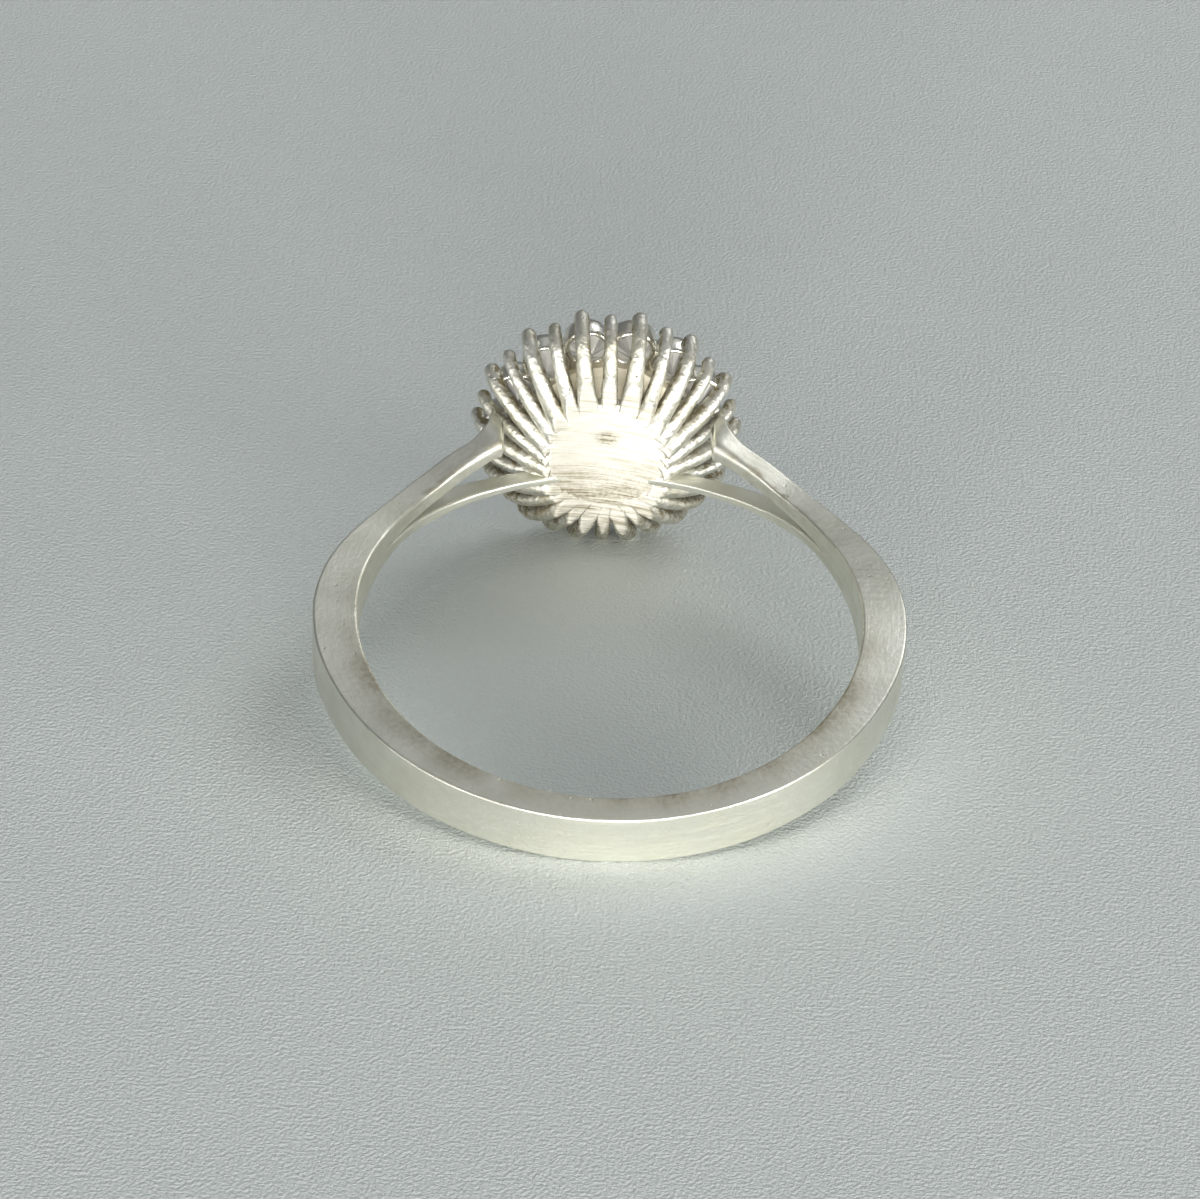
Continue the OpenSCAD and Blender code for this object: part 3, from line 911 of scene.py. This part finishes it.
def silver(name, colour, stain, stain_share, roughness, marks, grain, drawn_out,
           stroke=(0.35, 14.0), bare=1.0, crust=1.0):
    """A silver finish. Marks and grain say how strongly file marks and cast grain show, drawn_out how gloss spreads.

    Stroke gives the marks' fineness along and across, bare is the share of metal that no tarnish covers, and crust
    says how far the dirt and painted shade break up into specks.
    """
    material, s = new_finish(name)
    place = s.put("ShaderNodeTexCoord").outputs
    filed = s.put("ShaderNodeGroup", node_tree=file_marks)
    s.tree.links.new(place["UV"], filed.inputs["Place"])
    filed.inputs["Along"].default_value, filed.inputs["Across"].default_value = stroke
    cast = s.put("ShaderNodeGroup", node_tree=cast_grain)
    s.tree.links.new(place["Object"], cast.inputs["Place"])
    file_height = s.sum("MULTIPLY", filed.outputs["Height"], marks)
    height = s.sum("ADD", file_height, s.sum("MULTIPLY", cast.outputs["Height"], grain))
    bump = s.put("ShaderNodeBump", {"Height": height, "Distance": FINISH_BUMP, "Strength": 1.0})
    amount = s.sum("MULTIPLY", cast.outputs["Patches"], stain_share)
    amount = s.sum("ADD", amount, s.sum("MULTIPLY", cast.outputs["Pits"], STAIN_IN_PITS))
    amount = s.sum("MINIMUM", s.sum("MULTIPLY_ADD", filed.outputs["Mask"], STAIN_IN_MARKS * marks, amount), 1.0)
    tone = s.blend(amount, colour, stain)
    # The attribute holds dirt and painted shade together, and both mix in the same dark tan
    dirt = s.put("ShaderNodeAttribute", attribute_name="grime_and_shade").outputs["Fac"]
    # Dirt and painted shade follow the marks where they are strong, and the cast grain elsewhere
    worn = filed if marks > 1 else cast
    specks = s.put("ShaderNodeMapRange", {
        "Value": worn.outputs["Height"], "From Min": 0.42, "From Max": 0.6,
        "To Min": 1 - 0.65 * crust, "To Max": 1 + 0.5 * crust})
    dirt = s.sum("MINIMUM", s.sum("MULTIPLY", dirt, specks.outputs[0]), 1.0)
    dirty_and_shaded = s.blend(dirt, tone, GRIME_AND_SHADE)
    uneven = s.sum("MULTIPLY_ADD", filed.outputs["Mask"], MARKS_ROUGH * min(marks, 1.0), roughness)
    uneven = s.sum("MULTIPLY_ADD", dirt, DIRT_AND_SHADE_ROUGH, uneven)
    uneven = s.sum("MULTIPLY_ADD", cast.outputs["Patches"], PATCHES_ROUGH, uneven)
    skin = s.put("ShaderNodeBsdfPrincipled", {
        "Base Color": dirty_and_shaded, "Metallic": bare, "Roughness": uneven, "Normal": bump.outputs[0]})
    if drawn_out:
        skin.inputs["Anisotropic"].default_value = drawn_out
        skin.inputs["Anisotropic Rotation"].default_value = 0.25
        lines = s.put("ShaderNodeTangent", direction_type="UV_MAP", uv_map="along_across")
        s.tree.links.new(lines.outputs[0], skin.inputs["Tangent"])
    s.put("ShaderNodeOutputMaterial", [skin.outputs[0]])
    return material


# Colour, stain, share of stain, roughness, file marks, cast grain, and how far gloss spreads
band_silver = silver("band_silver", (0.82, 0.82, 0.74), (0.60, 0.605, 0.50), 0.4, 0.36, 0.6, 1.1, 0.6, crust=0.3)
plate_silver = silver("plate_silver", (0.90, 0.89, 0.82), (0.50, 0.47, 0.35), 0.2, 0.46, 1.5, 0.6, 0.85, (0.8, 15.0))
wire_silver = silver("wire_silver", (0.81, 0.81, 0.75), (0.50, 0.49, 0.39), 0.7, 0.42, 0.0, 4.5, 0.0)
cup_silver = silver("cup_silver", (0.97, 0.91, 0.73), (0.76, 0.68, 0.47), 0.4, 0.48, 0.0, 1.2, 0.0, bare=0.6)
seat_silver = silver("seat_silver", (0.86, 0.85, 0.79), (0.60, 0.56, 0.43), 0.5, 0.26, 0.0, 1.6, 0.0)
for piece, finish in ((shank, band_silver), (back_plate, plate_silver), (cup, cup_silver)):
    piece.data.materials.append(finish)
print("five silver finishes")

# %% [markdown]
# The stones bend light strongly and are cloudy with age and dust, so they are half glass with a high index and half
# plain white. In a real stone each facet shows another part of the room; here that is painted. The tree noted one
# chance number for each facet, and the colour follows it, light or grey, as a painted reflection, so that
# neighbouring facets stand out from each other.

# %% Crystal
crystal, s = new_finish("crystal")
place = s.put("ShaderNodeTexCoord").outputs["Object"]
haze = s.put("ShaderNodeTexNoise", {"Vector": place, "Scale": 900.0, "Detail": 2.0})
film = s.put("ShaderNodeMapRange", {
    "Value": haze.outputs[0], "From Min": 0.45, "From Max": 0.7, "To Min": 0.0, "To Max": 0.08})
flash = s.put("ShaderNodeAttribute", attribute_name="flash").outputs["Fac"]
# Painted reflection: a facet is light or grey by its chance number
glint_share = s.put("ShaderNodeMapRange", {"Value": flash, "From Min": 0.2, "From Max": 0.6})
glint_tone = s.blend(glint_share.outputs[0], (0.52, 0.52, 0.50), (1.0, 1.0, 0.97))
clear = s.put("ShaderNodeBsdfPrincipled", {
    "Base Color": glint_tone, "Roughness": film.outputs[0], "IOR": 1.75, "Transmission Weight": 0.5})
s.put("ShaderNodeOutputMaterial", [clear.outputs[0]])
print("crystal with index", clear.inputs["IOR"].default_value)

# %% Wires and stones as plain meshes
basket_wires = bake_tree("basket_wires", wire_tree, {"Silver": wire_silver})
halo_stones = bake_tree("halo_stones", stone_tree, {"Pattern": stone_pattern, "Finish": crystal})
halo_seats = bake_tree("halo_seats", stone_tree, {"Pattern": seat_pattern, "Finish": seat_silver})
shade_smooth(halo_seats.data)
for pattern in (stone_pattern, seat_pattern):
    bpy.data.objects.remove(pattern)
for piece in (basket_wires, halo_stones, halo_seats):
    print(piece.name, len(piece.data.polygons), "faces")

# %% [markdown]
# The filed flats of the wires get the plate's bright finish. The sides of the wires that face each other are darkened
# with dirt and with painted shade, the lowest wires with painted shade, and the faces turned out from the finger hole
# a little too. A light speckled dirt lies all over.

# %% Filed flats, dirt and painted shade on the wires
FLAT_REACH = 0.03
basket_wires.data.materials.append(plate_silver)
add_ring_uv(basket_wires, slant=0.15)
back = ring_to_table.inverted()
filed_faces = 0
for polygon in basket_wires.data.polygons:
    spot = back @ polygon.center
    if math.hypot(spot.x, spot.y) < finger_r + FLAT_REACH:
        polygon.material_index = 1
        filed_faces += 1

spots, normals = ring_arrays(basket_wires)
outward = spots[:, (0, 2)] / np.linalg.norm(spots[:, (0, 2)], axis=1)[:, None]
sideways = np.abs(normals[:, 0] * outward[:, 1] - normals[:, 2] * outward[:, 0])
speckle = speckles(spots, 2.5)
# The sides that face each other: partly dirt, partly painted shade between the wires
between = fade(sideways, 0.72, 0.97) * (0.6 + 1.3 * speckle)
fronts = 0.4 * np.clip(normals[:, 1], 0, 1)
# Painted shade on the lowest wires, darker towards the bottom
lowest = 0.6 * np.minimum(fade(spots[:, 2], -1.0, -3.5), 0.6)
all_over = 0.07 + 0.22 * speckle
set_grime_and_shade(basket_wires, between + fronts + lowest + all_over)
print(filed_faces, "faces are filed flush with the finger hole")

# %% [markdown]
# ## The paper and the light
#
# The ring lies on pale textured paper. A large soft light hangs over the right and the back, and a smaller one beside
# it gives the head its shadow. Low lights stand in front, as windows would: they light the back of the band and the
# plate, and the metal throws bright patches onto the paper.

# %% Paper
PAPER_HALF = 0.6
paper_mesh = bpy.data.meshes.new("paper")
paper_corners = [(x * PAPER_HALF, y * PAPER_HALF, 0.0) for x, y in ((-1, -1), (1, -1), (1, 1), (-1, 1))]
paper_mesh.from_pydata(paper_corners, [], [(0, 1, 2, 3)])
paper = add_object("paper", paper_mesh)
paper_skin, s = new_finish("paper")
place = s.put("ShaderNodeTexCoord").outputs["Object"]
fibre = s.put("ShaderNodeTexNoise", {"Vector": place, "Scale": 7500.0, "Detail": 2.0, "Roughness": 0.6})
cloud = s.put("ShaderNodeTexNoise", {"Vector": place, "Scale": 120.0, "Detail": 2.0})
tone = s.blend(cloud.outputs[0], (0.775, 0.835, 0.825), (0.815, 0.875, 0.865))
bump = s.put("ShaderNodeBump", {"Height": fibre.outputs[0], "Distance": 0.09 * MM, "Strength": 1.0})
skin = s.put("ShaderNodeBsdfPrincipled", {"Base Color": tone, "Roughness": 0.75, "Normal": bump.outputs[0]})
s.put("ShaderNodeOutputMaterial", [skin.outputs[0]])
paper.data.materials.append(paper_skin)
print("paper", 2 * PAPER_HALF, "m wide")


# %% Lights
def soft_light(name, where, aim, size, watts, colour=(1.0, 1.0, 1.0)):
    """A square light at a place in metres, turned towards another."""
    data = bpy.data.lights.new(name, "AREA")
    data.shape = "RECTANGLE"
    data.size, data.size_y = size
    data.energy = watts
    data.color = colour
    light = add_object(name, data)
    light.location = where
    light.rotation_euler = (Vector(aim) - Vector(where)).to_track_quat("-Z", "Y").to_euler()


WINDOW_REACH, WINDOW_SIZE = 0.6, (0.46, 0.075)
WINDOW_RISE = math.radians(5.5)
WINDOW_COLOUR = (1.0, 0.965, 0.93)
# Degrees to the right of straight in front, and watts
WINDOWS = {"window_left": (-48, 1.2), "window_middle": (0, 3.9), "window_right": (48, 2.7)}
for name, (degrees, watts) in WINDOWS.items():
    way, flat, rise = math.radians(degrees), math.cos(WINDOW_RISE), math.sin(WINDOW_RISE)
    where = WINDOW_REACH * Vector((math.sin(way) * flat, -math.cos(way) * flat, rise))
    soft_light(name, where, (0, 0, 0.003), WINDOW_SIZE, watts, WINDOW_COLOUR)
soft_light("ceiling", (0.26, 0.32, 0.5), (0.26, 0.32, 0), (0.9, 0.8), 0.6)
soft_light("lamp", (0.30, 0.30, 0.42), (0, 0, 0), (0.26, 0.26), 0.5)

world = bpy.data.worlds.new("room")
world.use_nodes = True
world.node_tree.nodes["Background"].inputs["Color"].default_value = (0.165, 0.172, 0.171, 1.0)
world.node_tree.nodes["Background"].inputs["Strength"].default_value = 1.0
bpy.context.scene.world = world
bpy.context.scene.view_settings.view_transform = "Standard"
print("lights:", [light.name for light in bpy.data.lights])

# %% [markdown]
# ## Handing the pieces over
#
# Every piece rides on the ring's one body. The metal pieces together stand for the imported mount, and the stones for
# the fourteen packed ones.

# %% Hand over
for piece in (shank, back_plate, cup, basket_wires, halo_seats, halo_stones):
    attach(piece, "root")
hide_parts("ring_mount")
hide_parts(*stone_nodes)
